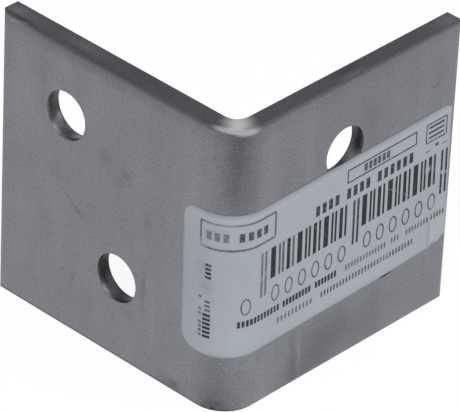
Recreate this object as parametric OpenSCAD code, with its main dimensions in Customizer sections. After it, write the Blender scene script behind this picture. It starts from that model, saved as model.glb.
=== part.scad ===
// Small angle bracket, punched and folded from one piece of stainless sheet, with the
// paper label that is stuck round its bend.
// It stands on one sheared edge. The bend runs up along +Z, one leg runs along +X and the
// other along +Y. The origin is the middle of the footprint, at ground level.

/* [Sheet] */
// Length of each leg, from the outside corner to the leg's end
leg_len = 29.4; // [28:0.1:60]
// Width of the strip, which is the bracket's height as it stands
strip_w = 30.6; // [29:0.1:60]
// Thickness of the sheet
sheet_t = 1.8; // [1.2:0.1:3]
// Inside radius of the bend
bend_r = 1.8; // [1:0.1:3]

/* [Sheared edges] */
// How far in from an edge the shear has drawn the outer face down
roll_len = 0.5; // [0.3:0.05:0.7]
// How deep the drawn-down corner is at the edge
roll_depth = 0.15; // [0.1:0.05:0.35]
// Radius of the drawn-down corner
roll_r = 0.95; // [0.9:0.05:3]

/* [Screw holes] */
// Diameter of the burnished bore
hole_d = 4.9; // [3:0.1:6]
// Height of the lower holes' centres above the foot
low_row = 8.6; // [7.8:0.1:10]
// From the top edge down to the upper holes' centres
high_row_inset = 7.7; // [6:0.1:9]
// From the outside corner to the upper hole of the leg along +X
near_column_x = 14.5; // [11:0.1:15.5]
// From the outside corner to the lower hole of the leg along +Y
near_column_y = 14.2; // [11:0.1:15.5]
// From a leg's end back to the hole near it
far_column_inset = 8.2; // [5:0.1:9]
// How far out from a bore the punch has drawn the outer face down
rim_len = 0.3; // [0.2:0.05:0.5]
// How deep the drawn-down rim is at the bore
rim_depth = 0.1; // [0.1:0.05:0.2]
// Radius of the drawn-down rim
rim_r = 0.6; // [0.6:0.1:2]
// Depth from the outer face at which the burnished bore ends and the break starts
burnish_depth = 0.9; // [0.5:0.05:1.1]
// How much wider than the bore's radius the hole is at the inner face
break_out = 0.25; // [0.1:0.05:0.4]

/* [Label] */
// Thickness of the label
label_t = 0.1; // [0.05:0.01:0.2]
// Height of the label
label_h = 15.4; // [10:0.1:20]
// Height of the label's lower edge above the foot
label_z = 6.25; // [2:0.05:8]
// How far the label laps past the bend onto the leg along +Y
label_lap = 2.4; // [2:0.1:10]
// From the end of the leg along +X back to the label's end
label_inset = 0.1; // [0:0.05:5]
// Radius of the label's corners
label_corner = 1.4; // [0.5:0.1:1.9]

/* [Hidden] */
$fn = 96;

outer_r = bend_r + sheet_t;
hole_r = hole_d / 2;
high_row = strip_w - high_row_inset;
far_column = leg_len - far_column_inset;
footprint_mid = (leg_len - label_t) / 2;
// how far a cutter runs past the face that it opens
past = 1;

// The distance from a chord's middle to the centre of its arc.
function chord_to_centre(len, depth, r) = sqrt(r * r - (len * len + depth * depth) / 4);

// Cuts the drawn-down corner off a section. The section's corner is at the origin, its outer
// face lies on x = 0 and its sheared edge on y = 0. The arc meets the face len up from the
// corner and the edge depth in from it.
module roll_cut(len, depth, r) {
    chord = sqrt(len * len + depth * depth);
    out = chord_to_centre(len, depth, r);
    difference() {
        translate([-past, -past]) square([past + depth, past + len]);
        translate([depth / 2 + out * len / chord, len / 2 + out * depth / chord]) circle(r);
    }
}

// Across the strip: x is the depth below the outer face and y the height.
module strip_section() {
    difference() {
        square([sheet_t, strip_w]);
        roll_cut(roll_len, roll_depth, roll_r);
        translate([0, strip_w]) mirror([0, 1]) roll_cut(roll_len, roll_depth, roll_r);
    }
}

// The leg along +X, from the bend's tangent line to its end, with its outer face on y = 0.
module flat_leg() {
    difference() {
        translate([outer_r, 0, 0]) rotate([90, 0, 90])
            linear_extrude(leg_len - outer_r) strip_section();
        translate([leg_len, 0, -past]) linear_extrude(strip_w + 2 * past)
            rotate(90) roll_cut(roll_len, roll_depth, roll_r);
    }
}

// The quarter of a pipe that joins the legs.
module bend() {
    translate([outer_r, outer_r, 0]) rotate([0, 0, 180])
        rotate_extrude(angle = 90) translate([outer_r, 0]) mirror([1, 0]) strip_section();
}

// What the punch takes out, along +Y from the outer face on y = 0: the drawn-down rim,
// the burnished bore, and the break that widens towards the inner face.
module punched_hole() {
    slope = break_out / (sheet_t - burnish_depth);
    rotate([-90, 0, 0]) rotate_extrude() {
        translate([0, -past]) square([hole_r, sheet_t + 2 * past]);
        translate([hole_r, 0]) mirror([1, -1]) roll_cut(rim_len, rim_depth, rim_r);
        polygon([
            [0, burnish_depth],
            [hole_r, burnish_depth],
            [hole_r + break_out + slope * past, sheet_t + past],
            [0, sheet_t + past]
        ]);
    }
}

// Two holes in the leg along +X, at (distance from the outside corner, height).
module leg_holes(places) {
    for (place = places)
        translate([place[0], 0, place[1]]) punched_hole();
}

// Swaps the two legs.
module on_y_leg() mirror([1, -1, 0]) children();

module at_footprint() translate([-footprint_mid, -footprint_mid, 0]) children();

module bracket() {
    color("#7c7e82") at_footprint() difference() {
        union() {
            flat_leg();
            on_y_leg() flat_leg();
            bend();
        }
        leg_holes([[near_column_x, high_row], [far_column, low_row]]);
        on_y_leg() leg_holes([[far_column, high_row], [near_column_y, low_row]]);
    }
}

// A flat stretch of the label on the leg along +X, from the tangent line to reach, with
// its free corners rounded.
module label_stretch(reach) {
    r = label_corner;
    rotate([90, 0, 0]) linear_extrude(label_t) translate([outer_r, label_z]) {
        square([reach - r, label_h]);
        translate([0, r]) square([reach, label_h - 2 * r]);
        for (y = [r, label_h - r])
            translate([reach - r, y]) circle(r);
    }
}

module label() {
    color("#a9b0b8") at_footprint() {
        label_stretch(leg_len - label_inset - outer_r);
        on_y_leg() label_stretch(label_lap);
        translate([outer_r, outer_r, label_z]) rotate([0, 0, 180])
            rotate_extrude(angle = 90) translate([outer_r, 0]) square([label_t, label_h]);
    }
}

bracket();
label();
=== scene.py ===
# Small stainless angle bracket with a paper label stuck round its bend, on a white studio floor
import math

import bmesh
import bpy
from mathutils import Matrix, Vector, noise


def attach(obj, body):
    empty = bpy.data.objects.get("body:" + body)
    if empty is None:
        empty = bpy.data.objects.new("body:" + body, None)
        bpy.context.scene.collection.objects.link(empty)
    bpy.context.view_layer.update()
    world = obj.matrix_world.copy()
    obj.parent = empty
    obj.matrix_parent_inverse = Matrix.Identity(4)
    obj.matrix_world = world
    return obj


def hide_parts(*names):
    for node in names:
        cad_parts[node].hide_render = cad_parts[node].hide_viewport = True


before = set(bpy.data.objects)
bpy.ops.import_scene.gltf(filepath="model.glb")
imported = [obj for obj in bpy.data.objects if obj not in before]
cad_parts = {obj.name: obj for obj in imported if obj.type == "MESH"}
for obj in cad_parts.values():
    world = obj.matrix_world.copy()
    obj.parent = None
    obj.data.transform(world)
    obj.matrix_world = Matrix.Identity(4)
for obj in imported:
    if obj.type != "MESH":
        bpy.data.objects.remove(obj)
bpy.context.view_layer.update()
mm = 0.001


def toLinear(hexColour):
    parts = [int(hexColour[i:i + 2], 16) / 255 for i in (1, 3, 5)]
    return [c / 12.92 if c <= 0.04045 else ((c + 0.055) / 1.055) ** 2.4 for c in parts] + [1.0]


def addNode(tree, kind, settings=None, links=None):
    node = tree.nodes.new(kind)
    for name, value in (settings or {}).items():
        if isinstance(name, str) and hasattr(node, name):
            setattr(node, name, value)
        else:
            node.inputs[name].default_value = value
    for socket, source in (links or {}).items():
        tree.links.new(source, node.inputs[socket])
    return node


# most of a noise's values lie in this range
noiseRange = {"From Min": 0.3, "From Max": 0.7}
# for a Mix node that multiplies a colour by a factor
tinting = {"data_type": "RGBA", "blend_type": "MULTIPLY", 0: 1.0}


def newMaterial(name):
    material = bpy.data.materials.new(name)
    material.use_nodes = True
    material.node_tree.nodes.clear()
    return material, material.node_tree


def addMarks(tree, spot, marks):
    # soft ovals at their own places: (where, half sizes, turn in degrees, strength), all added up
    total = None
    for where, halfSizes, turn, strength in marks:
        settings = {"vector_type": "TEXTURE", "Location": where, "Rotation": (0, 0, math.radians(turn)),
                    "Scale": halfSizes}
        oval = addNode(tree, "ShaderNodeMapping", settings, {"Vector": spot})
        oval = addNode(tree, "ShaderNodeTexGradient", {"gradient_type": "SPHERICAL"},
                       {"Vector": oval.outputs[0]})
        links = {0: oval.outputs["Fac"]}
        if total:
            links[2] = total
        total = addNode(tree, "ShaderNodeMath", {"operation": "MULTIPLY_ADD", 1: strength, 2: 0.0},
                        links).outputs[0]
    return total


def flatMarks(rows):
    # rows of (across, up, half width, half height, turn, strength) on an unrolled surface
    return [((row[0], row[1], 0), (row[2], row[3], 1), row[4], row[5]) for row in rows]


def solidMarks(rows):
    # rows of (place, half sizes, strength), in mm in the shared frame
    return [(Vector(where) * mm, Vector(half) * mm, 0, strength) for where, half, strength in rows]


def makePiece(name, bm, materials):
    mesh = bpy.data.meshes.new(name)
    bm.to_mesh(mesh)
    bm.free()
    piece = bpy.data.objects.new(name, mesh)
    bpy.context.scene.collection.objects.link(piece)
    for material in materials:
        mesh.materials.append(material)
    return piece


# The unrolled sheet: u runs along the outer face from the bend's middle, z up, both in mm
bracketCad = bpy.data.objects["bracket"]
outsideCorner = -14.65  # of both legs, where the outer faces' planes meet
bendRadius = 3.6  # outside
sheetThickness = 1.8
stripWidth = 30.6
halfBend = bendRadius * math.pi / 4


def ontoSheet(u, z, out):
    # a point "out" mm proud of the outer face
    r = bendRadius
    if u > halfBend:
        x, y = r + u - halfBend, -out
    elif u < -halfBend:
        x, y = -out, r - u - halfBend
    else:
        a = u / r + math.pi / 4
        x, y = r - (r + out) * math.cos(a), r - (r + out) * math.sin(a)
    return Vector((x + outsideCorner, y + outsideCorner, z)) * mm


def offSheet(co):
    # the other way: u, z and how deep under the outer face
    x, y = co.x / mm - outsideCorner, co.y / mm - outsideCorner
    r = bendRadius
    if x >= r and x >= y:
        return x - r + halfBend, co.z / mm, y
    if y >= r:
        return -(y - r + halfBend), co.z / mm, x
    a = math.atan2(r - y, r - x)
    return (a - math.pi / 4) * r, co.z / mm, r - math.hypot(r - x, r - y)


# Camera
camera = {
    "eye": (-280.913, -258.404, 263.148),  # mm
    "aim": (-1.528, -2.115, 11.45),
    "roll": 2.7323,  # degrees
    "lens": 385.841,  # mm
}


def makeCamera(values):
    data = bpy.data.cameras.new("camera")
    data.sensor_width = 36
    data.lens = values["lens"]
    data.clip_start, data.clip_end = 0.01, 10
    cam = bpy.data.objects.new("camera", data)
    eye, aim = Vector(values["eye"]) * mm, Vector(values["aim"]) * mm
    turn = (aim - eye).to_track_quat("-Z", "Y").to_matrix()
    turn = turn @ Matrix.Rotation(math.radians(values["roll"]), 3, "Z")
    cam.matrix_world = Matrix.Translation(eye) @ turn.to_4x4()
    bpy.context.scene.collection.objects.link(cam)
    bpy.context.scene.camera = cam


makeCamera(camera)
print("camera done")

# Floor and light, with lengths in metres
studio = {
    "floorColour": "#f4f4f4",
    "floorRadius": 1.2,
    "cornerRadius": 0.2,  # where the floor turns up into the wall
    "wallHeight": 0.35,
    "lightColour": "#ffffff",
    "showWhite": 0.87,  # share of plain light that the camera and reflections see
    "whiteStrength": 1.04,
    "worldStrength": 0.42,
    "lampAim": (0, 0, 0.015),
    # name, power, size, place
    "lamps": [
        ("keyLamp", 0.75, 0.14, (-0.165, -0.151, 0.33)),
        ("fillLamp", 0.5, 0.3, (0.25, -0.45, 0.3)),
    ],
}


def sweepMaterial(values):
    # seamless paper sweep: matt white that still takes the object's shadow
    material, tree = newMaterial("whitePaperSweep")
    path = addNode(tree, "ShaderNodeLightPath")
    seen = addNode(tree, "ShaderNodeMath", {"operation": "MAXIMUM"},
                   {0: path.outputs["Is Camera Ray"], 1: path.outputs["Is Glossy Ray"]})
    seen = addNode(tree, "ShaderNodeMath", {"operation": "MAXIMUM"},
                   {0: seen.outputs[0], 1: path.outputs["Is Transmission Ray"]})
    share = addNode(tree, "ShaderNodeMath", {"operation": "MULTIPLY", 1: values["showWhite"]},
                    {0: seen.outputs[0]})
    paper = addNode(tree, "ShaderNodeBsdfDiffuse", {"Color": toLinear(values["floorColour"])})
    white = addNode(tree, "ShaderNodeEmission", {"Color": toLinear(values["lightColour"]),
                                                 "Strength": values["whiteStrength"]})
    mixed = addNode(tree, "ShaderNodeMixShader", None, {0: share.outputs[0], 1: paper.outputs[0],
                                                        2: white.outputs[0]})
    addNode(tree, "ShaderNodeOutputMaterial", None, {"Surface": mixed.outputs[0]})
    return material


def makeSweep(values):
    bm = bmesh.new()
    radius, corner = values["floorRadius"], values["cornerRadius"]
    steps = 12
    profile = []
    for step in range(steps + 1):
        angle = math.pi / 2 * step / steps
        profile.append((radius + corner * math.sin(angle), corner * (1 - math.cos(angle))))
    profile.append((radius + corner, values["wallHeight"]))
    last = bm.verts.new((0, 0, 0))
    for x, z in profile:
        following = bm.verts.new((x, 0, z))
        bm.edges.new((last, following))
        last = following
    bmesh.ops.spin(bm, geom=bm.verts[:] + bm.edges[:], cent=(0, 0, 0), axis=(0, 0, 1), angle=2 * math.pi,
                   steps=96, use_merge=True)
    bmesh.ops.remove_doubles(bm, verts=bm.verts, dist=1e-6)
    bmesh.ops.recalc_face_normals(bm, faces=bm.faces)
    for face in bm.faces:
        face.smooth = True
    sweep = makePiece("paperSweep", bm, [sweepMaterial(values)])


def addLamp(name, power, size, at, aim):
    data = bpy.data.lights.new(name, "AREA")
    data.shape = "DISK"
    data.energy, data.size = power, size
    lamp = bpy.data.objects.new(name, data)
    lamp.location = at
    lamp.rotation_euler = (Vector(aim) - Vector(at)).to_track_quat("-Z", "Y").to_euler()
    bpy.context.scene.collection.objects.link(lamp)


makeSweep(studio)
for lamp in studio["lamps"]:
    addLamp(*lamp, studio["lampAim"])
world = bpy.data.worlds.new("studioWorld")
world.use_nodes = True
background = world.node_tree.nodes["Background"]
background.inputs["Color"].default_value = toLinear(studio["lightColour"])
background.inputs["Strength"].default_value = studio["worldStrength"]
bpy.context.scene.world = world
bpy.context.scene.view_settings.view_transform = "Standard"
print("studio done")

# Bracket
bracket = {
    "skinColour": "#83858b",
    "edgeColour": "#707176",
    "boreColour": "#545559",
    "paintedHighlightColour": "#f5f6f8",  # painted highlight at the bend's top
    "skinRoughness": (0.4, 0.52),
    "edgeRoughness": 0.55,
    "boreRoughness": 0.5,
    "grainSize": 0.22,  # mm, coarser than a real mill finish, which would be too fine to show
    # the grain's darkest and palest factor on each finish
    "skinGrain": (0.74, 1.26),
    "edgeGrain": (0.76, 1.2),
    "boreGrain": (0.7, 1.3),
    "cloudSize": (2.5, 6.25),  # mm along the strip and up it
    "cloudTone": (0.93, 1.07),
    "swirlSize": 10 / 9,  # mm, of the wavering that makes the wear's outlines uneven
    "swirl": 0.55,  # mm that they waver either way
    # painted shade in bands along the strip, a dark reflection under the top edge and a contact shade along
    # the
    # foot: height of the border on the leg along Y and on the leg along X, half of the border's softness
    # (minus where the band lies below it), how much darker
    "paintedShadeBands": [(29.98, 30.3, 0.29, 0.45), (0.3, 0.15, -0.16, 0.65)],
    "zoneTurn": 5.0,  # mm either side of the bend's middle within which a border changes its height
    # the painted highlight, a crescent at the bend's top: ovals as in the list below, which add up
    "crescent": [
        (-1.0, 30.39, 1.8, 0.4, 0, 1.0),
        (0.97, 30.25, 1.85, 0.56, 0, 1.0),
        (-0.1, 30.62, 1.0, 0.3, 0, 0.45),
    ],
    "crescentFull": 0.8,  # the sum at which it is brightest
    "crescentBright": 0.44,  # its share of the painted highlight colour there
    # the painted highlight patch on the bend's sheared top: mm that it is moved from the section's middle,
    # forth on x and back on y, half sizes in mm, turn
    "paintedHighlightPatch": (0.1, (2.75, 2.0, 2.0), 45),
    "sink": (0.13, 0.16),  # mm that the bend's top edge sinks, at its inside and its outside
    "sinkReach": (2.3, 1.7),  # mm along the strip and down it over which the sinking fades out
    "pinch": 0.12,  # mm that the outer face is pulled in at the bend's top
    "pinchHeight": 1.0,  # mm below the top edge where that starts
    "pinchWidth": 2.1,  # mm from the bend's middle over which it fades out
    # more loops at the bend, in mm: how far from its two ends, and at which x and y, each with the x and y
    # up to which they are cut; the squeezed top needs them, and the foot gets the same
    "loops": ((0.15, 0.3, 0.5, 0.75, 1.05, 1.4, 1.8, 2.3, 2.9), -8.2),
    "columns": ((-11.05, -10.3, -9.4, -8.4), -6.0),
    # which finish a face gets, in mm: sheared edges lie within edgeZone of the top or the foot, or past
    # legEnd on x or y, and holes' walls lie between wallDepths under the outer face and short of wallsEnd
    # along the strip
    "edgeZone": 0.4,
    "legEnd": 14.0,
    "wallDepths": (0.12, sheetThickness - 0.02),
    "wallsEnd": 27.8,
    "squareOn": 0.93,  # cosine to an axis above which a face is square to it
    "wallTilt": 0.6,  # cosine to the sheet's own normal under which a face is a wall
    "innerAside": 200,  # mm that the inner side is unrolled away from the marks, so that it stays plain
    # wear on the outer face, with painted shading among it: u, z, half width, half height, turn, strength
    # (minus is darker)
    "wearAndPaintedShading": [
        # painted dark reflection: a band down the bend's middle
        (0.25, 26.5, 2.6, 9.5, 0, -0.42),
        # painted shade: the next four darken the strip along the top edge
        (-6.0, 31.0, 90.0, 2.6, 0, -0.2),
        (-19.0, 29.9, 17.0, 1.3, 0, -0.2),
        (-17.0, 30.5, 13.0, 0.3, 0, -0.14),
        (-26.6, 30.5, 3.2, 0.3, 0, -0.4),
        (-27.6, 30.0, 2.8, 0.42, 0, 0.5),
        (-6.2, 0.5, 2.4, 1.5, 0, -0.28),
        (2.4, 26.0, 1.5, 6.0, 0, -0.06),
        (1.5, 2.2, 4.5, 2.6, 0, -0.08),
        (10.3, 3.6, 2.6, 2.2, 0, -0.08),
        (0.1, 24.0, 0.9, 1.6, 0, -0.1),
        (-5.8, 16.0, 2.4, 17.0, 0, 0.05),
        (-26.0, 24.0, 2.8, 9.0, 0, 0.05),
        (-19.5, 2.8, 7.0, 4.0, 0, -0.06),
        (16.0, 26.5, 10.0, 5.0, 0, -0.04),
        (9.5, 5.0, 3.2, 3.4, 0, -0.06),
        (-1.4, 0.8, 3.4, 2.2, 0, -0.18),
        (-0.3, 0.2, 2.4, 0.9, 0, -0.12),
        (-2.8, 0.3, 0.35, 0.4, 0, -0.5),
        (-1.9, 0.25, 0.3, 0.35, 0, -0.45),
        (-1.0, 0.3, 0.35, 0.35, 0, -0.5),
        (9.2, 0.8, 4.4, 2.8, 0, -0.28),
        # painted reflection on the bend: the next five darken its top and its foot, with paler stripes
        # beside it
        (0.2, 29.0, 1.5, 3.5, 0, -0.14),
        (-4.4, 23.0, 1.5, 12.0, 0, 0.07),
        (3.7, 25.0, 1.3, 9.0, 0, 0.06),
        (-1.3, 3.0, 2.4, 6.5, 0, -0.22),
        (4.0, 2.6, 3.0, 6.0, 0, 0.09),
        (8.0, 3.0, 0.7, 5.0, 4, -0.2),
        (8.9, 3.0, 0.5, 5.0, 4, 0.12),
        (12.8, 3.2, 3.4, 4.0, 0, -0.24),
        (3.5, 4.9, 0.35, 0.45, 0, -0.25),
        (18.5, 2.5, 3.5, 3.5, 0, -0.08),
        (15.5, 2.5, 9.0, 5.0, 0, -0.16),
        (17.5, 25.5, 13.0, 9.0, 0, -0.07),
        (7.0, 17.0, 4.0, 20.0, 0, -0.04),
        (-15.2, 20.9, 1.3, 1.0, 20, -0.16),
        (-12.5, 20.2, 0.9, 1.1, 0, -0.22),
        (-13.4, 19.0, 1.2, 0.8, 0, -0.13),
        (-18.3, 13.4, 0.9, 0.7, 0, -0.2),
        (-19.6, 14.4, 2.6, 0.25, -40, -0.16),
        (-21.5, 16.4, 1.6, 0.9, -20, -0.08),
        (-19.0, 6.0, 0.4, 0.7, 10, -0.22),
        (-20.3, 6.1, 0.35, 0.35, 0, -0.24),
        (-9.95, 8.9, 0.3, 3.6, 1, -0.2),
        (-9.2, 9.6, 0.7, 3.4, 0, 0.1),
        (-8.65, 6.5, 0.25, 5.5, 0, 0.13),
        (-11.5, 5.6, 1.6, 1.0, 0, -0.1),
        (-9.8, 16.5, 0.9, 1.5, 0, -0.1),
        (-22.5, 26.5, 3.0, 1.6, 10, -0.06),
        (-17.5, 24.5, 2.4, 2.2, 0, 0.05),
        (9.0, 24.0, 0.6, 6.0, 0, 0.09),
        (17.2, 24.6, 1.4, 2.4, 0, -0.07),
        (19.5, 26.0, 2.5, 2.5, 0, 0.05),
        (25.7, 24.8, 0.7, 0.3, 15, -0.3),
        (26.1, 25.1, 0.3, 0.35, 0, -0.25),
        (25.6, 4.5, 0.5, 2.5, 0, -0.1),
        (-5.6, 0.9, 1.0, 0.6, 0, -0.3),
        (-0.8, 0.7, 1.6, 0.8, 0, -0.2),
        (-27.6, 26.0, 1.0, 5.0, 0, -0.06),
    ],
    # paler and darker stretches of the sheared faces: place and half sizes in mm, strength
    "shearTone": [
        ((-14.0, 13.7, 30.6), (1.3, 1.7, 0.8), 0.7),
        ((-13.8, 11.6, 30.6), (1.2, 2.5, 0.8), 0.2),
        ((-13.7, 5.0, 30.6), (0.9, 3.6, 0.8), 0.4),
        ((-13.8, -3.5, 30.6), (1.2, 5.0, 0.8), -0.12),
        ((0.6, -14.3, 30.6), (2.2, 0.7, 0.8), 0.5),
        ((0.6, -13.4, 30.6), (3.0, 0.9, 0.8), -0.25),
        ((13.9, -13.9, 30.6), (1.8, 1.5, 0.8), 0.7),
        ((12.2, -13.9, 30.6), (2.2, 1.2, 0.8), 0.15),
    ],
    # patches on the bores' walls, partly tears from the punch and partly painted light and shade:
    # place and half sizes in mm, strength
    "boreTearsAndPaintedShading": [
        ((-13.2, 8.6, 21.4), (0.7, 0.8, 0.6), 2.4),
        ((-13.9, 8.3, 21.2), (0.7, 0.8, 0.6), 1.1),
        ((-14.4, 8.1, 21.1), (0.6, 0.9, 0.8), 0.15),
        ((-13.5, 5.9, 20.5), (0.8, 0.8, 0.6), 2.2),
        ((-14.0, 8.0, 24.4), (0.9, 0.9, 0.9), -0.3),
        ((-14.2, 1.2, 6.7), (0.6, 0.7, 0.6), 0.4),
        ((-13.6, 1.0, 10.2), (2.0, 2.2, 2.2), -0.5),
        ((-13.8, -0.7, 7.4), (3.6, 3.6, 3.6), -0.7),
        ((-13.6, 7.9, 20.8), (1.1, 1.0, 0.9), 1.5),
        ((-13.3, 8.5, 21.5), (0.5, 0.5, 0.4), 1.2),
        ((-14.05, 8.9, 22.3), (0.5, 0.7, 1.4), 0.6),
        ((-13.6, 8.8, 23.9), (0.9, 0.8, 0.9), -0.3),
        ((-13.65, 6.2, 20.5), (0.8, 1.2, 0.6), 0.5),
        ((-14.4, 6.7, 20.45), (0.6, 1.6, 0.6), 1.3),
        ((-14.45, 9.0, 22.9), (0.35, 0.6, 2.0), 1.1),
        ((-13.2, 1.9, 9.2), (1.2, 1.2, 2.2), -1.2),
        ((-14.3, 1.95, 8.2), (0.5, 0.8, 1.6), 0.5),
        ((-13.65, 1.2, 6.8), (1.6, 1.3, 1.4), 1.2),
        ((-13.6, 0.5, 6.35), (1.0, 0.9, 0.8), 0.5),
        ((-14.2, 0.0, 6.2), (0.9, 1.7, 0.7), 0.95),
        ((2.1, -13.6, 23.6), (0.9, 1.3, 1.6), -0.75),
        ((2.2, -14.35, 23.4), (0.5, 0.35, 1.2), 1.0),
        ((1.6, -13.8, 21.2), (1.2, 1.3, 1.1), 2.6),
    ],
}


def metalGrain(tree, spot, size, low, high):
    # fine unevenness of a metal surface as a factor on its colour, and the noise that it comes from
    grain = addNode(tree, "ShaderNodeTexNoise", {"Scale": 1 / size, "Detail": 3.0, "Roughness": 0.6},
                    {"Vector": spot})
    factor = addNode(tree, "ShaderNodeMapRange", {**noiseRange, "To Min": low, "To Max": high},
                     {"Value": grain.outputs["Fac"]})
    return factor.outputs[0], grain.outputs["Fac"]


def skinMaterial(values):
    # cold-rolled stainless, dull mill finish: a soft grey sheen, with rubbed and dark spots, painted dark
    # reflection along the bend, painted shade along the top edge and the foot, and a painted highlight at
    # the bend's top
    material, tree = newMaterial("coldRolledStainless")
    uv = addNode(tree, "ShaderNodeUVMap", {"uv_map": "unrolled"}).outputs[0]
    swirl = addNode(tree, "ShaderNodeTexNoise", {"Scale": 1 / values["swirlSize"], "Detail": 3.0},
                    {"Vector": uv})
    shift = values["swirl"]
    settings = {"operation": "MULTIPLY_ADD", 1: (2 * shift, 2 * shift, 0)}
    bent = addNode(tree, "ShaderNodeVectorMath", settings, {0: swirl.outputs["Color"], 2: uv})
    bent = addNode(tree, "ShaderNodeVectorMath", {"operation": "SUBTRACT", 1: (shift, shift, 0)},
                   {0: bent.outputs[0]})
    wearAndPaintedShading = addMarks(tree, bent.outputs[0], flatMarks(values["wearAndPaintedShading"]))
    wide, tall = values["cloudSize"]
    cloud = addNode(tree, "ShaderNodeMapping", {"Scale": (1 / wide, 1 / tall, 1)}, {"Vector": uv})
    cloud = addNode(tree, "ShaderNodeTexNoise", {"Scale": 1.0, "Detail": 5.0, "Roughness": 0.6},
                    {"Vector": cloud.outputs[0]})
    low, high = values["cloudTone"]
    tone = addNode(tree, "ShaderNodeMapRange", {**noiseRange, "To Min": low, "To Max": high},
                   {"Value": cloud.outputs["Fac"]})
    fine, grain = metalGrain(tree, uv, values["grainSize"], *values["skinGrain"])
    both = addNode(tree, "ShaderNodeMath", {"operation": "MULTIPLY"}, {0: tone.outputs[0], 1: fine})
    # the wear and the painted shading from the ovals, laid on the grain
    worn = addNode(tree, "ShaderNodeMath", {"operation": "MULTIPLY_ADD"},
                   {0: both.outputs[0], 1: wearAndPaintedShading, 2: both.outputs[0]})
    # painted dark reflection on the drawn-down zone under the top edge, and a thin painted contact shade
    # along the foot
    across = addNode(tree, "ShaderNodeSeparateXYZ", None, {0: uv})
    for left, right, half, strength in values["paintedShadeBands"]:
        settings = {"From Min": -values["zoneTurn"], "From Max": values["zoneTurn"], "To Min": left,
                    "To Max": right}
        border = addNode(tree, "ShaderNodeMapRange", settings, {"Value": across.outputs[0]})
        height = addNode(tree, "ShaderNodeMath", {"operation": "SUBTRACT"},
                         {0: across.outputs[1], 1: border.outputs[0]})
        settings = {"interpolation_type": "SMOOTHSTEP", "From Min": -half, "From Max": half,
                    "To Min": 1.0, "To Max": 1.0 - strength}
        zone = addNode(tree, "ShaderNodeMapRange", settings, {"Value": height.outputs[0]})
        worn = addNode(tree, "ShaderNodeMath", {"operation": "MULTIPLY"},
                       {0: worn.outputs[0], 1: zone.outputs[0]})
    # painted highlight: a bright crescent at the bend's top
    crescent = addMarks(tree, uv, flatMarks(values["crescent"]))
    settings = {"interpolation_type": "SMOOTHSTEP", "From Max": values["crescentFull"],
                "To Max": values["crescentBright"]}
    crescent = addNode(tree, "ShaderNodeMapRange", settings, {"Value": crescent})
    colour = addNode(tree, "ShaderNodeMix", {**tinting, 6: toLinear(values["skinColour"])},
                     {7: worn.outputs[0]})
    colour = addNode(tree, "ShaderNodeMix", {"data_type": "RGBA", 7: toLinear(values["paintedHighlightColour"])},
                     {0: crescent.outputs[0], 6: colour.outputs[2]})
    low, high = values["skinRoughness"]
    rough = addNode(tree, "ShaderNodeMapRange", {**noiseRange, "To Min": low, "To Max": high},
                    {"Value": grain})
    bump = addNode(tree, "ShaderNodeBump", {"Strength": 0.3, "Distance": 0.03 * mm}, {"Height": grain})
    links = {"Base Color": colour.outputs[2], "Roughness": rough.outputs[0], "Normal": bump.outputs[0]}
    shader = addNode(tree, "ShaderNodeBsdfPrincipled", {"Metallic": 1.0}, links)
    addNode(tree, "ShaderNodeOutputMaterial", None, {"Surface": shader.outputs[0]})
    return material


def edgeMaterial(values):
    # sheared stainless: a torn, duller break with an uneven grain, with a painted highlight at the bend's
    # top
    material, tree = newMaterial("shearedStainless")
    spot = addNode(tree, "ShaderNodeTexCoord").outputs["Object"]
    fine, grain = metalGrain(tree, spot, values["grainSize"] * mm, *values["edgeGrain"])
    # Object coordinates are in metres
    middle = outsideCorner + bendRadius - (bendRadius - sheetThickness / 2) * math.sqrt(0.5)
    shift, halfSizes, turn = values["paintedHighlightPatch"]
    place = [at * mm for at in (middle + shift, middle - shift, stripWidth)]
    paintedHighlightPatch = addMarks(tree, spot, [(place, [half * mm for half in halfSizes], turn, 1.0)])
    paintedHighlightPatch = addNode(tree, "ShaderNodeMapRange", {"interpolation_type": "SMOOTHSTEP"}, {"Value": paintedHighlightPatch})
    tone = addMarks(tree, spot, solidMarks(values["shearTone"]))
    worn = addNode(tree, "ShaderNodeMath", {"operation": "ADD"}, {0: fine, 1: tone})
    colour = addNode(tree, "ShaderNodeMix", {**tinting, 6: toLinear(values["edgeColour"])},
                     {7: worn.outputs[0]})
    colour = addNode(tree, "ShaderNodeMix", {"data_type": "RGBA", 7: toLinear(values["paintedHighlightColour"])},
                     {0: paintedHighlightPatch.outputs[0], 6: colour.outputs[2]})
    bump = addNode(tree, "ShaderNodeBump", {"Strength": 0.5, "Distance": 0.04 * mm}, {"Height": grain})
    settings = {"Metallic": 1.0, "Roughness": values["edgeRoughness"]}
    shader = addNode(tree, "ShaderNodeBsdfPrincipled", settings,
                     {"Base Color": colour.outputs[2], "Normal": bump.outputs[0]})
    addNode(tree, "ShaderNodeOutputMaterial", None, {"Surface": shader.outputs[0]})
    return material


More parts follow.
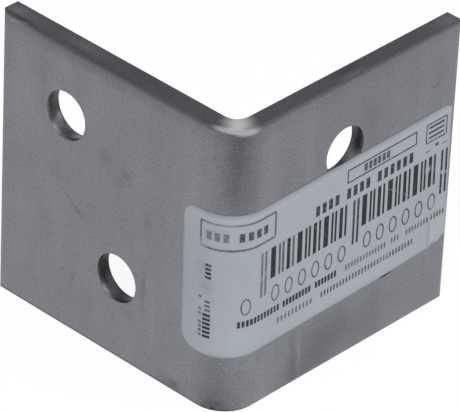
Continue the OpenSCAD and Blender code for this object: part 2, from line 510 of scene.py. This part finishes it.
def boreMaterial(values):
    # punched stainless: a dark wall scored by the punch, with patches that are partly pale tears and partly
    # painted light and shade
    material, tree = newMaterial("punchedStainless")
    spot = addNode(tree, "ShaderNodeTexCoord").outputs["Object"]
    fine, grain = metalGrain(tree, spot, values["grainSize"] * mm, *values["boreGrain"])
    boreTearsAndPaintedShading = addMarks(tree, spot, solidMarks(values["boreTearsAndPaintedShading"]))
    worn = addNode(tree, "ShaderNodeMath", {"operation": "ADD"}, {0: fine, 1: boreTearsAndPaintedShading})
    bump = addNode(tree, "ShaderNodeBump", {"Strength": 0.5, "Distance": 0.05 * mm}, {"Height": grain})
    colour = addNode(tree, "ShaderNodeMix", {**tinting, 6: toLinear(values["boreColour"])},
                     {7: worn.outputs[0]})
    settings = {"Metallic": 1.0, "Roughness": values["boreRoughness"]}
    shader = addNode(tree, "ShaderNodeBsdfPrincipled", settings,
                     {"Base Color": colour.outputs[2], "Normal": bump.outputs[0]})
    addNode(tree, "ShaderNodeOutputMaterial", None, {"Surface": shader.outputs[0]})
    return material


def bendShift(u, z, depth, values):
    # how far the squeezed metal at the bend's top has moved: down, and in towards the bend's middle, in mm
    inner = min(max(depth / sheetThickness, 0), 1)
    inside, outside = values["sink"]
    along, down = values["sinkReach"]
    sink = (inside * inner + outside * (1 - inner)) * math.exp(-(u / along) ** 2)
    sink *= math.exp(-((stripWidth - z) / down) ** 2)
    climb = min(max(1 - (stripWidth - z) / values["pinchHeight"], 0), 1)
    pinch = values["pinch"] * climb * (1 - inner) ** 2 * math.exp(-(u / values["pinchWidth"]) ** 4)
    return sink, pinch


def cutNear(bm, limit, where, normal):
    # one more loop, only through the faces that lie below the limit on x and on y, in mm
    near = [f for f in bm.faces if max(f.calc_center_median().xy) < limit * mm]
    geom = near + list({e for f in near for e in f.edges}) + list({v for f in near for v in f.verts})
    bmesh.ops.bisect_plane(bm, geom=geom, dist=1e-7, plane_co=where, plane_no=normal)


def finishOf(face, values):
    # the slot of a face's material: 0 for the mill finish, 1 for sheared edges, 2 for the holes' walls
    normal = face.normal
    middle = face.calc_center_median()
    u, z, depth = offSheet(middle)
    square, legEnd = values["squareOn"], values["legEnd"] * mm
    midHeight = values["edgeZone"] < z < stripWidth - values["edgeZone"]
    if abs(normal.z) > square and not midHeight:
        return 1
    if normal.x > square and middle.x > legEnd:
        return 1
    if normal.y > square and middle.y > legEnd:
        return 1
    rim, inner = values["wallDepths"]
    if rim < depth < inner and midHeight and abs(u) < values["wallsEnd"]:
        facing = normal.y if u > 0 else normal.x
        return 2 if abs(facing) < values["wallTilt"] else 0
    return 0


def makeBracket(values):
    bm = bmesh.new()
    bm.from_mesh(bracketCad.data)
    bmesh.ops.remove_doubles(bm, verts=bm.verts, dist=1e-7)
    gaps, limit = values["loops"]
    for gap in gaps:
        for z in (gap, stripWidth - gap):
            cutNear(bm, limit, (0, 0, z * mm), (0, 0, 1))
    places, limit = values["columns"]
    for at in places:
        for normal in ((1, 0, 0), (0, 1, 0)):
            cutNear(bm, limit, Vector(normal) * at * mm, normal)
    uv = bm.loops.layers.uv.new("unrolled")
    for face in bm.faces:
        face.smooth = True
        face.material_index = finishOf(face, values)
        depth = offSheet(face.calc_center_median())[2]
        aside = values["innerAside"] if depth > values["wallDepths"][1] else 0
        for loop in face.loops:
            across, up = offSheet(loop.vert.co)[:2]
            loop[uv].uv = (across + aside, up)
    for vert in bm.verts:
        u, z, depth = offSheet(vert.co)
        sink, pinch = bendShift(u, z, depth, values)
        inwards = Vector((math.cos(u / bendRadius + math.pi / 4), math.sin(u / bendRadius + math.pi / 4),
                          0))
        vert.co += (inwards * pinch - Vector((0, 0, sink))) * mm
    piece = makePiece("foldedBracket", bm, [skinMaterial(values), edgeMaterial(values),
                                            boreMaterial(values)])
    piece.data.set_sharp_from_angle(angle=math.radians(32))
    weighted = piece.modifiers.new("flatFacesStayFlat", "WEIGHTED_NORMAL")
    weighted.keep_sharp = True
    weighted.mode = "FACE_AREA"
    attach(piece, "root")
    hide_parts("bracket")


makeBracket(bracket)
print("bracket done")

# Label
label = {
    "paperColour": "#a7adb5",
    "inkColour": "#26262d",
    "fibreSize": 2 / 9,  # mm, coarser than real paper fibre, which would be too fine to show
    "fibreTone": (0.93, 1.07),
    "length": 33.9,  # mm, before its end is cut off
    "end": 33.22,  # where it is cut off, a little short of the leg's end
    "height": 15.4,
    "lowerEdge": [(0, 0.05), (26, 0.05), (31, 0.3), (33.9, 0.75)],  # across and up, as it was trimmed
    "thickness": 0.1,
    "underside": -0.02,  # a little under the sheet's face, so that no gap shows
    "rim": 0.03,  # its thickness at the rim, which is pressed down
    "corner": 1.7,
    "cuts": (0.35, 0.5),  # mm between the cuts across it and up it
    "tilt": 1.1,  # degrees, as it was stuck on
    "pivot": (16.75, 7.7),  # the point of the flat label that it is turned about
    "middle": (11.675, 13.95),  # u and z of that point on the sheet
    "waviness": 0.008,  # mm
    "waveSize": 5,  # mm
    "waveSeed": 3.7,  # another number gives other waves
    # the crease near its end: how far across, half width, height over which it fades, rise
    "crease": (30.85, 0.3, 3.2, 0.08),
    # stains and rubbed places, with painted shade and light among them: across, up, half width, half
    # height, turn, strength (minus is darker)
    "stainsAndPaintedShading": [
        (16.7, 15.42, 80.0, 0.5, 0, -0.34),
        (-0.02, 7.7, 0.34, 60.0, 0, -0.2),
        (14.0, 0.03, 60.0, 0.34, 0, -0.22),
        # painted shade: the next two darken its left part near the bend
        (0.5, 8.0, 2.8, 9.0, 0, -0.1),
        (5.6, 9.5, 3.6, 8.0, 0, -0.07),
        (3.0, 9.0, 1.6, 5.0, 0, -0.06),
        (6.0, 1.8, 4.0, 2.2, 0, 0.05),
        (20.0, 1.2, 12.0, 1.6, 0, 0.07),
        (2.9, 7.4, 1.0, 1.3, 0, -0.16),
        (2.4, 9.3, 0.9, 1.2, 0, -0.14),
        (2.9, 3.4, 1.1, 2.2, 0, -0.14),
        (3.6, 13.4, 1.7, 1.0, 0, -0.14),
        (7.8, 13.0, 2.4, 0.8, 0, -0.07),
        (32.4, 2.4, 1.3, 2.6, 0, 0.08),
        # painted shade in the crease, and painted light beside it
        (30.85, 1.9, 0.32, 2.7, 2, -0.26),
        (31.5, 1.8, 0.5, 2.2, 2, 0.07),
        (29.7, 1.9, 1.0, 1.0, 0, -0.06),
        (29.5, 6.0, 5.0, 6.0, 0, -0.05),
        (17.0, 13.8, 5.0, 1.6, 0, -0.03),
        (11.5, 9.0, 1.0, 4.0, 20, 0.02),
        (33.3, 8.0, 0.5, 8.0, 0, -0.06),
        (13.5, 6.9, 5.5, 0.12, -14, -0.05),
        (6.8, 8.7, 1.5, 0.1, -60, -0.05),
        (25.0, 9.5, 1.6, 0.09, -35, -0.06),
    ],
}


def labelMaterial(values):
    # matt coated label paper: even, faintly fibrous, no shine, greyed by handling, with painted shade in
    # its crease and near the bend
    material, tree = newMaterial("coatedLabelPaper")
    uv = addNode(tree, "ShaderNodeUVMap", {"uv_map": "flatLabel"}).outputs[0]
    fibre = addNode(tree, "ShaderNodeTexNoise", {"Scale": 1 / values["fibreSize"], "Detail": 3.0},
                    {"Vector": uv})
    low, high = values["fibreTone"]
    tone = addNode(tree, "ShaderNodeMapRange", {**noiseRange, "To Min": low, "To Max": high},
                   {"Value": fibre.outputs["Fac"]})
    stainsAndPaintedShading = addMarks(tree, uv, flatMarks(values["stainsAndPaintedShading"]))
    worn = addNode(tree, "ShaderNodeMath", {"operation": "ADD"}, {0: tone.outputs[0], 1: stainsAndPaintedShading})
    bump = addNode(tree, "ShaderNodeBump", {"Strength": 0.2, "Distance": 0.01 * mm},
                   {"Height": fibre.outputs["Fac"]})
    colour = addNode(tree, "ShaderNodeMix", {**tinting, 6: toLinear(values["paperColour"])},
                     {7: worn.outputs[0]})
    shader = addNode(tree, "ShaderNodeBsdfPrincipled", {"Roughness": 0.6},
                     {"Base Color": colour.outputs[2], "Normal": bump.outputs[0]})
    addNode(tree, "ShaderNodeOutputMaterial", None, {"Surface": shader.outputs[0]})
    return material


def labelPoint(s, t, out, values):
    # a point of the flat label, wrapped round the bracket: across, up and out in mm
    size = values["waveSize"]
    lift = values["waviness"] * (1 + noise.noise(Vector((s / size, t / size, values["waveSeed"]))))
    across, half, height, rise = values["crease"]
    lift += rise * math.exp(-((s - across) / half) ** 2) * math.exp(-(t / height) ** 2)
    c, d = math.cos(math.radians(values["tilt"])), math.sin(math.radians(values["tilt"]))
    x, y = s - values["pivot"][0], t - values["pivot"][1]
    return ontoSheet(values["middle"][0] + x * c - y * d, values["middle"][1] + x * d + y * c, out + lift)


def cutEvery(bm, step, start, end, across):
    # straight cuts through a flat mesh, so that it can follow the bend
    at = start + step
    while at < end - step / 2:
        where, normal = ((at, 0, 0), (1, 0, 0)) if across else ((0, at, 0), (0, 1, 0))
        geom = bm.verts[:] + bm.edges[:] + bm.faces[:]
        bmesh.ops.bisect_plane(bm, geom=geom, dist=1e-5, plane_co=where, plane_no=normal)
        at += step


def thicken(bm, low, high):
    # gives flat faces their thickness, with the lower side at low and the upper at high
    for vert in bm.verts:
        vert.co.z = low
    upper = bmesh.ops.extrude_face_region(bm, geom=bm.faces[:], use_keep_orig=True)["geom"]
    raised = [part for part in upper if isinstance(part, bmesh.types.BMVert)]
    bmesh.ops.translate(bm, vec=(0, 0, high - low), verts=raised)
    bmesh.ops.recalc_face_normals(bm, faces=bm.faces)


def wrap(bm, values):
    # keeps where each point was on the flat label, then puts it round the bracket
    uv = bm.loops.layers.uv.new("flatLabel")
    for face in bm.faces:
        face.smooth = True
        for loop in face.loops:
            loop[uv].uv = loop.vert.co.xy
    for vert in bm.verts:
        vert.co = labelPoint(*vert.co, values)


def makeLabel(values):
    bm = bmesh.new()
    end, height = values["end"], values["height"]
    outline = values["lowerEdge"] + [(values["length"], height), (0, height)]
    corners = [bm.verts.new((s, t, 0)) for s, t in outline]
    bm.faces.new(corners)
    rounded = [corners[0], corners[3], corners[4], corners[5]]
    bmesh.ops.bevel(bm, geom=rounded, affect="VERTICES", offset=values["corner"], segments=8, profile=0.5,
                    material=-1)
    geom = bm.verts[:] + bm.edges[:] + bm.faces[:]
    bmesh.ops.bisect_plane(bm, geom=geom, dist=1e-5, plane_co=(end, 0, 0), plane_no=(1, 0, 0),
                           clear_outer=True)
    cutEvery(bm, values["cuts"][0], 0, end, True)
    cutEvery(bm, values["cuts"][1], 0, height, False)
    thicken(bm, values["underside"], values["thickness"])
    # its rim is pressed down, but for the cut-off end
    rim = {vert for face in bm.faces if abs(face.normal.z) < 0.5 for vert in face.verts}
    for vert in rim:
        if vert.co.z > 0 and vert.co.x < end - 0.01:
            vert.co.z = values["rim"]
    wrap(bm, values)
    piece = makePiece("paperLabel", bm, [labelMaterial(values)])
    piece.data.set_sharp_from_angle(angle=math.radians(40))
    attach(piece, "root")
    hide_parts("label")


makeLabel(label)
print("label done")

# Print on the label: plain bars, blocks, frames and rings that say nothing, in mm on the flat label
labelPrint = {
    "film": (-0.03, 0.012),  # from under the paper's face to just above it
    "fleckSize": 0.3125,  # mm, of the gaps rubbed into the ink
    "fleckTone": (-0.26, 0.12),
    "endMargin": 0.15,  # bare paper at the label's cut-off end
    "bend": (1.75, 8.4),  # the stretch that goes round the bend and is cut as finely as the label
    "cuts": (2, 1),  # mm between the cuts elsewhere, across and up
    # one set of bars, repeated: how far from the set's start, width
    "barSet": [(0.0, 0.62), (0.82, 0.25), (1.28, 0.25), (1.98, 0.42), (2.6, 0.25)],
    "barSets": [9.75, 13.2, 16.65, 21.75, 25.2, 28.65],  # where the sets start
    "bars": (7.3, 10.65),  # the height that they start at and end at
    "barWear": 0.02,
    "rubbedBars": (0.4, 0.3),  # the first set's bars under this width have this wear
    # across, wear
    "longBars": [(8.3, 0.45), (8.8, 0.45), (20.35, 0.15), (20.9, 0.15), (32.25, 0.12), (32.85, 0.12)],
    "longBarFoot": 5.8,
    "longBarWidth": 0.27,
    # rows of rings, all alike: first across, how many, pitch
    "ringRows": [(6.6, 1, 1.75), (10.15, 6, 1.75), (22.3, 6, 1.75)],
    "ringHeight": 5.45,  # up to their middles
    "ringSize": (1.05, 1.8, 0.14),  # width, height, line
    "ringWear": (0.42, 0.2),  # at the label's start, and from ringEven on
    "ringEven": 20,
    # lines of equal strokes: first and last across, middle height, stroke height, stroke width, pitch, wear
    "strokes": [
        (5.95, 10.85, 3.62, 0.68, 0.27, 0.42, 0.12), (11.35, 15.1, 3.62, 0.68, 0.28, 0.42, 0.06),
        (15.6, 18.5, 3.62, 0.68, 0.28, 0.42, 0.06), (19.6, 25.1, 3.62, 0.6, 0.18, 0.4, 0.3),
        (25.8, 26.7, 3.62, 0.6, 0.18, 0.4, 0.3), (27.8, 30.6, 3.62, 0.6, 0.18, 0.4, 0.3),
        (31.2, 33.1, 3.66, 0.6, 0.18, 0.4, 0.25), (10.65, 15.3, 2.15, 0.62, 0.2, 0.48, 0.38),
        (16.4, 28.6, 2.15, 0.62, 0.18, 0.42, 0.25),
    ],
    # equal blocks of the bold line above the bars: first across, how many, pitch
    "boldBlocks": [(15.45, 4, 0.85), (19.55, 4, 0.85), (23.65, 6, 0.85)],
    "boldBlock": (11.78, 0.5, 1.1, 0.14),  # up, width, height, wear
    # frames: left, low, right, high, line, wear, corner radius
    "frames": [
        (19.25, 12.95, 28.55, 14.42, 0.14, 0.2, 0),
        (2.1, 11.6, 10.0, 14.5, 0.22, 0.42, 0.3),
        (29.8, 12.3, 32.7, 14.45, 0.15, 0.3, 0.2),
    ],
    # rows of equal blocks: first across, up, how many, pitch, width, height, wear
    "blockRows": [
        (21.7, 13.68, 6, 0.6, 0.42, 0.8, 0.28),
        (3.1, 13.05, 3, 0.8, 0.5, 0.9, 0.5), (6.1, 13.05, 4, 0.85, 0.5, 0.9, 0.22),
        (31.25, 13.95, 1, 1, 2.1, 0.22, 0.2), (31.25, 13.4, 1, 1, 2.1, 0.22, 0.2),
        (31.25, 12.85, 1, 1, 2.1, 0.22, 0.25),
        (31.4, 11.72, 1, 1, 0.5, 0.3, 0.3), (30.2, 11.42, 1, 1, 0.7, 0.1, 0.3),
        (32.5, 11.42, 1, 1, 0.7, 0.1, 0.35),
    ],
    # upright lines of equal strokes: across, first up, how many, pitch, width, height, wear
    "uprights": [
        (3.0, 2.1, 6, 0.46, 0.75, 0.27, 0.08), (3.1, 4.95, 3, 0.46, 0.55, 0.2, 0.3),
        (2.3, 2.1, 4, 0.46, 0.35, 0.24, 0.35),
        (2.3, 4.4, 2, 0.5, 0.3, 0.22, 0.4), (2.3, 6.2, 1, 0.5, 0.3, 0.25, 0.35),
        (3.1, 8.5, 4, 0.44, 0.6, 0.26, 0.16),
    ],
    # where the ink is rubbed off: across, up, half width, half height, turn, strength
    "rubbed": [
        (30.3, 9.4, 0.5, 0.55, 0, 1.5),
        (32.4, 8.15, 1.0, 0.3, -20, 1.1),
        (31.5, 9.0, 0.5, 0.5, 0, 0.6),
        (31.2, 4.9, 0.5, 1.4, 0, 0.6),
        (26.0, 9.0, 4.5, 0.09, -35, 0.5),
        (16.0, 9.3, 1.8, 0.09, -50, 0.5),
        (8.6, 8.1, 0.9, 0.25, 50, 0.5),
        (4.5, 14.4, 2.6, 0.4, 0, 0.35),
        (2.3, 11.9, 0.9, 0.8, 0, 0.5),
        (5.5, 11.6, 0.6, 0.5, 0, -0.15),
        (9.6, 13.6, 0.8, 1.8, 0, -0.1),
        (22.3, 3.7, 2.6, 0.5, 0, 0.2),
        (29.4, 3.6, 1.2, 0.6, 0, 0.2),
        (24.8, 2.2, 1.4, 0.6, 0, 0.25),
    ],
}


def inkMaterial(paper, values):
    # black label ink, matt: rubbed thin and flecked where the label was handled, cut by fine scratches
    material, tree = newMaterial("rubbedBlackInk")
    uv = addNode(tree, "ShaderNodeUVMap", {"uv_map": "flatLabel"}).outputs[0]
    settings = {"Scale": 1 / values["fleckSize"], "Detail": 4.0, "Roughness": 0.7}
    flecks = addNode(tree, "ShaderNodeTexNoise", settings, {"Vector": uv})
    low, high = values["fleckTone"]
    settings = {"From Min": 0.35, "From Max": 0.65, "To Min": low, "To Max": high}
    spread = addNode(tree, "ShaderNodeMapRange", settings, {"Value": flecks.outputs["Fac"]})
    worn = addNode(tree, "ShaderNodeAttribute", {"attribute_name": "worn"})
    thin = addNode(tree, "ShaderNodeMath", {"operation": "ADD"},
                   {0: spread.outputs[0], 1: worn.outputs["Fac"]})
    rubbed = addMarks(tree, uv, flatMarks(values["rubbed"]))
    share = addNode(tree, "ShaderNodeMath", {"operation": "ADD", "use_clamp": True},
                    {0: thin.outputs[0], 1: rubbed})
    settings = {"data_type": "RGBA", 6: toLinear(paper["inkColour"]), 7: toLinear(paper["paperColour"])}
    colour = addNode(tree, "ShaderNodeMix", settings, {0: share.outputs[0]})
    shader = addNode(tree, "ShaderNodeBsdfPrincipled", {"Roughness": 0.7, "Specular IOR Level": 0.25},
                     {"Base Color": colour.outputs[2]})
    addNode(tree, "ShaderNodeOutputMaterial", None, {"Surface": shader.outputs[0]})
    return material


def addBlock(bm, across, up, wide, tall, worn):
    # a flat block about its middle
    place = Matrix.Translation((across, up, 0)) @ Matrix.Diagonal((wide, tall, 1, 1))
    verts = bmesh.ops.create_grid(bm, x_segments=1, y_segments=1, size=0.5, matrix=place)["verts"]
    for vert in verts:
        vert[bm.verts.layers.float["worn"]] = worn
    return verts


def hollowOut(bm, verts, line):
    # leaves a face's rim of the given width
    face = list({f for v in verts for f in v.link_faces})
    bmesh.ops.inset_region(bm, faces=face, thickness=line, use_even_offset=True, use_boundary=True)
    bmesh.ops.delete(bm, geom=face, context="FACES_ONLY")


def addFrame(bm, left, low, right, high, line, worn, corner):
    verts = addBlock(bm, (left + right) / 2, (low + high) / 2, right - left, high - low, worn)
    if corner:
        made = bmesh.ops.bevel(bm, geom=verts, affect="VERTICES", offset=corner, segments=5, profile=0.5,
                               material=-1)
        verts = made["verts"]
    hollowOut(bm, verts, line)


def addRing(bm, across, up, wide, tall, line, worn):
    place = Matrix.Translation((across, up, 0)) @ Matrix.Diagonal((wide, tall, 1, 1))
    verts = bmesh.ops.create_circle(bm, cap_ends=True, segments=24, radius=0.5, matrix=place)["verts"]
    for vert in verts:
        vert[bm.verts.layers.float["worn"]] = worn
    hollowOut(bm, verts, line)


def addBars(bm, values):
    low, high = values["bars"]
    thin, thinWear = values["rubbedBars"]
    for start in values["barSets"]:
        for offset, wide in values["barSet"]:
            rubbed = start == values["barSets"][0] and wide < thin
            addBlock(bm, start + offset, (low + high) / 2, wide, high - low,
                     thinWear if rubbed else values["barWear"])
    low = values["longBarFoot"]
    for across, worn in values["longBars"]:
        addBlock(bm, across, (low + high) / 2, values["longBarWidth"], high - low, worn)


def addRings(bm, values):
    wide, tall, line = values["ringSize"]
    left, right = values["ringWear"]
    for first, count, pitch in values["ringRows"]:
        for step in range(count):
            across = first + step * pitch
            worn = left + (right - left) * min(across / values["ringEven"], 1)
            addRing(bm, across, values["ringHeight"], wide, tall, line, worn)


def addRows(bm, values):
    # lines, rows and columns of equal blocks
    for first, last, up, tall, wide, pitch, worn in values["strokes"]:
        for step in range(int((last - first) / pitch) + 1):
            addBlock(bm, first + step * pitch, up, wide, tall, worn)
    up, wide, tall, worn = values["boldBlock"]
    for first, count, pitch in values["boldBlocks"]:
        for step in range(count):
            addBlock(bm, first + step * pitch, up, wide, tall, worn)
    for first, up, count, pitch, wide, tall, worn in values["blockRows"]:
        for step in range(count):
            addBlock(bm, first + step * pitch, up, wide, tall, worn)
    for across, first, count, pitch, wide, tall, worn in values["uprights"]:
        for step in range(count):
            addBlock(bm, across, first + step * pitch, wide, tall, worn)


def makePrint(values, paper):
    bm = bmesh.new()
    bm.verts.layers.float.new("worn")
    addBars(bm, values)
    addRings(bm, values)
    addRows(bm, values)
    for row in values["frames"]:
        addFrame(bm, *row)
    geom = bm.verts[:] + bm.edges[:] + bm.faces[:]
    bmesh.ops.bisect_plane(bm, geom=geom, dist=1e-5, plane_co=(paper["end"] - values["endMargin"], 0, 0),
                           plane_no=(1, 0, 0), clear_outer=True)
    start, end = values["bend"]
    cutEvery(bm, paper["cuts"][0], start, end, True)
    cutEvery(bm, values["cuts"][0], end, paper["end"], True)
    cutEvery(bm, values["cuts"][1], 0, paper["height"], False)
    low, high = values["film"]
    thicken(bm, paper["thickness"] + low, paper["thickness"] + high)
    wrap(bm, paper)
    piece = makePiece("labelPrint", bm, [inkMaterial(paper, values)])
    piece.data.set_sharp_from_angle(angle=math.radians(40))
    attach(piece, "root")


makePrint(labelPrint, label)
print("print done")
